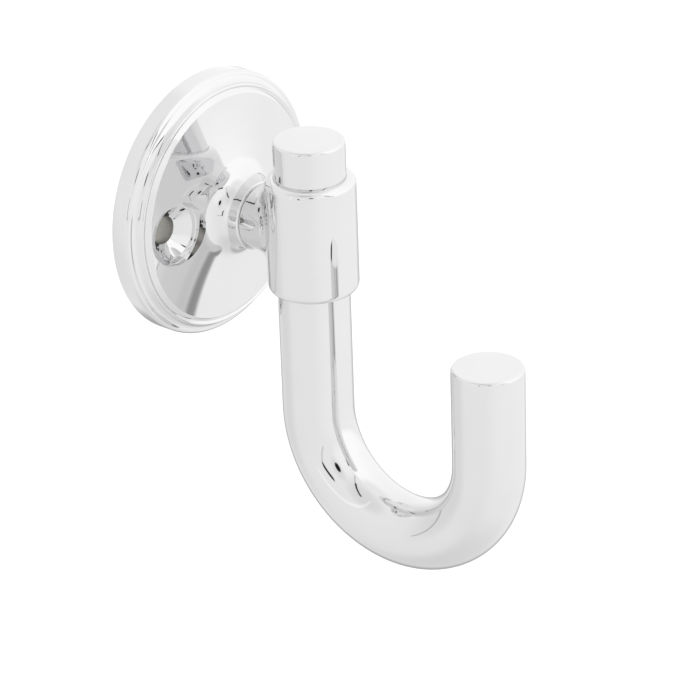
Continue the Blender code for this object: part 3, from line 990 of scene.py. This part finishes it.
def tentLight(setup):
    # how bright the tent is in a direction
    tree = bpy.data.node_groups.new("tentLight", "ShaderNodeTree")
    tree.interface.new_socket("Direction", in_out="INPUT", socket_type="NodeSocketVector")
    tree.interface.new_socket("Brightness", in_out="OUTPUT", socket_type="NodeSocketFloat")
    direction = vectorCalc(tree, "NORMALIZE", tree.nodes.new("NodeGroupInput").outputs[0])
    parts = addNode(tree, "ShaderNodeSeparateXYZ", Vector=direction).outputs

    # six soft sides and the patches on them
    total = 0.0
    sides = (("right", "left"), ("wallSide", "front"), ("top", "bottom"))
    for part, (ahead, behind) in zip(parts, sides):
        side = calc(tree, "GREATER_THAN", part, 0.0)
        level = calc(tree, "MULTIPLY_ADD", side, setup[ahead] - setup[behind], setup[behind])
        total = calc(tree, "MULTIPLY_ADD", calc(tree, "MULTIPLY", part, part), level, total)
    for place, reach, change in setup["patches"]:
        patch = nearPlace(tree, direction, place, reach, 0.0)
        total = calc(tree, "MULTIPLY_ADD", patch, change, total)

    # the lit cloth
    outward = calc(tree, "MULTIPLY", parts[1], -1.0)
    azimuth = calc(tree, "DEGREES", calc(tree, "ARCTAN2", parts[0], outward))
    elevation = calc(tree, "DEGREES", calc(tree, "ARCSINE", parts[2]))
    leaningTo = calc(tree, "MINIMUM", elevation, setup["windowLeanTop"])
    edge = calc(tree, "MULTIPLY_ADD", leaningTo, -setup["windowLean"], azimuth)
    lit = 1.0
    borders = ((edge, "Edge"), (azimuth, "End"), (elevation, "Foot"), (elevation, "Head"))
    for value, border in borders:
        at = setup["window" + border]
        low, high = setup["window" + border + "Fade"]
        lit = calc(tree, "MULTIPLY", lit, fade(tree, value, at + low, at + high))
    window = addNode(
        tree,
        "ShaderNodeMapRange",
        Value=azimuth,
        From_Min=setup["windowSpan"][0],
        From_Max=setup["windowSpan"][1],
        To_Min=setup["window"],
        To_Max=setup["windowFar"],
    )
    change = calc(tree, "SUBTRACT", window.outputs["Result"], total)
    total = calc(tree, "MULTIPLY_ADD", lit, change, total)

    # folds and gaps in the cloths, and the hole for the lens
    spot = addNode(tree, "ShaderNodeCombineXYZ", X=azimuth, Y=elevation).outputs[0]
    for *line, change in setup["seams"]:
        seam = nearLine(tree, spot, *line, setup["lineFade"])
        total = calc(tree, "MULTIPLY_ADD", seam, change, total)
    dark = []
    for *line, depth in setup["gaps"]:
        dark.append((nearLine(tree, spot, *line, setup["lineFade"]), depth))
    start, full = (setup["lensHole"] * share for share in setup["lensFade"])
    dark.append((nearPlace(tree, direction, setup["lens"], start, full), setup["lensDark"]))
    for place, depth in dark:
        keep = calc(tree, "MULTIPLY_ADD", place, -depth, 1.0)
        total = calc(tree, "MULTIPLY", total, keep)
    addNode(tree, "NodeGroupOutput", Brightness=total)
    return tree


def addTent(tree, tent, direction):
    group = tree.nodes.new("ShaderNodeGroup")
    group.node_tree = tent
    tree.links.new(direction, group.inputs[0])
    return group.outputs[0]


def rayKinds(tree):
    # what the camera sees itself or through glass, and what shows in a reflection
    rays = tree.nodes.new("ShaderNodeLightPath").outputs
    seen = calc(tree, "MAXIMUM", rays["Is Camera Ray"], rays["Is Transmission Ray"])
    return seen, rays["Is Glossy Ray"]


def makeWorld(setup, tent):
    # white to the camera, the tent in reflections, an even fill for the rest
    world = bpy.data.worlds.new("studio")
    bpy.context.scene.world = world
    world.use_nodes = True
    tree = world.node_tree
    seen, mirrored = rayKinds(tree)
    direction = tree.nodes.new("ShaderNodeTexCoord").outputs["Generated"]
    bright = addTent(tree, tent, direction)
    level = calc(tree, "MULTIPLY_ADD", seen, 1.0 - setup["fill"], setup["fill"])
    change = calc(tree, "MULTIPLY", mirrored, calc(tree, "SUBTRACT", bright, level))
    background = tree.nodes["Background"]
    background.inputs["Color"].default_value = (1.0, 1.0, 1.0, 1.0)
    tree.links.new(calc(tree, "ADD", level, change), background.inputs["Strength"])


def makeFloor(setup, tent):
    # matt and pale, and part of the tent in reflections
    mesh = bpy.data.meshes.new("studioFloor")
    reach = setup["reach"]
    sides = ((-reach, -reach), (reach, -reach), (reach, reach), (-reach, reach))
    mesh.from_pydata([(x, y, -setup["drop"]) for x, y in sides], [], [(0, 1, 2, 3)])
    finish = bpy.data.materials.new("paleFloor")
    finish.use_nodes = True
    tree = finish.node_tree
    tree.nodes.clear()
    seen, mirrored = rayKinds(tree)
    place = tree.nodes.new("ShaderNodeTexCoord").outputs["Object"]
    matt = addNode(tree, "ShaderNodeBsdfDiffuse", Color=setup["pale"])
    lift = addNode(tree, "ShaderNodeEmission", Strength=calc(tree, "MULTIPLY", seen, setup["lift"]))
    plain = tree.nodes.new("ShaderNodeAddShader")
    tree.links.new(matt.outputs[0], plain.inputs[0])
    tree.links.new(lift.outputs[0], plain.inputs[1])
    cloth = addNode(tree, "ShaderNodeEmission", Strength=addTent(tree, tent, place))
    either = addNode(tree, "ShaderNodeMixShader", Fac=mirrored)
    tree.links.new(plain.outputs[0], either.inputs[1])
    tree.links.new(cloth.outputs[0], either.inputs[2])
    addNode(tree, "ShaderNodeOutputMaterial", Surface=either.outputs[0])
    floor = addPiece("studioFloor", mesh, finish)


makeCamera(cameraSetup)
tent = tentLight(tentSetup)
makeWorld(tentSetup, tent)
makeFloor(floorSetup, tent)
bpy.context.scene.view_settings.view_transform = "Standard"
print("camera, tent and floor set")
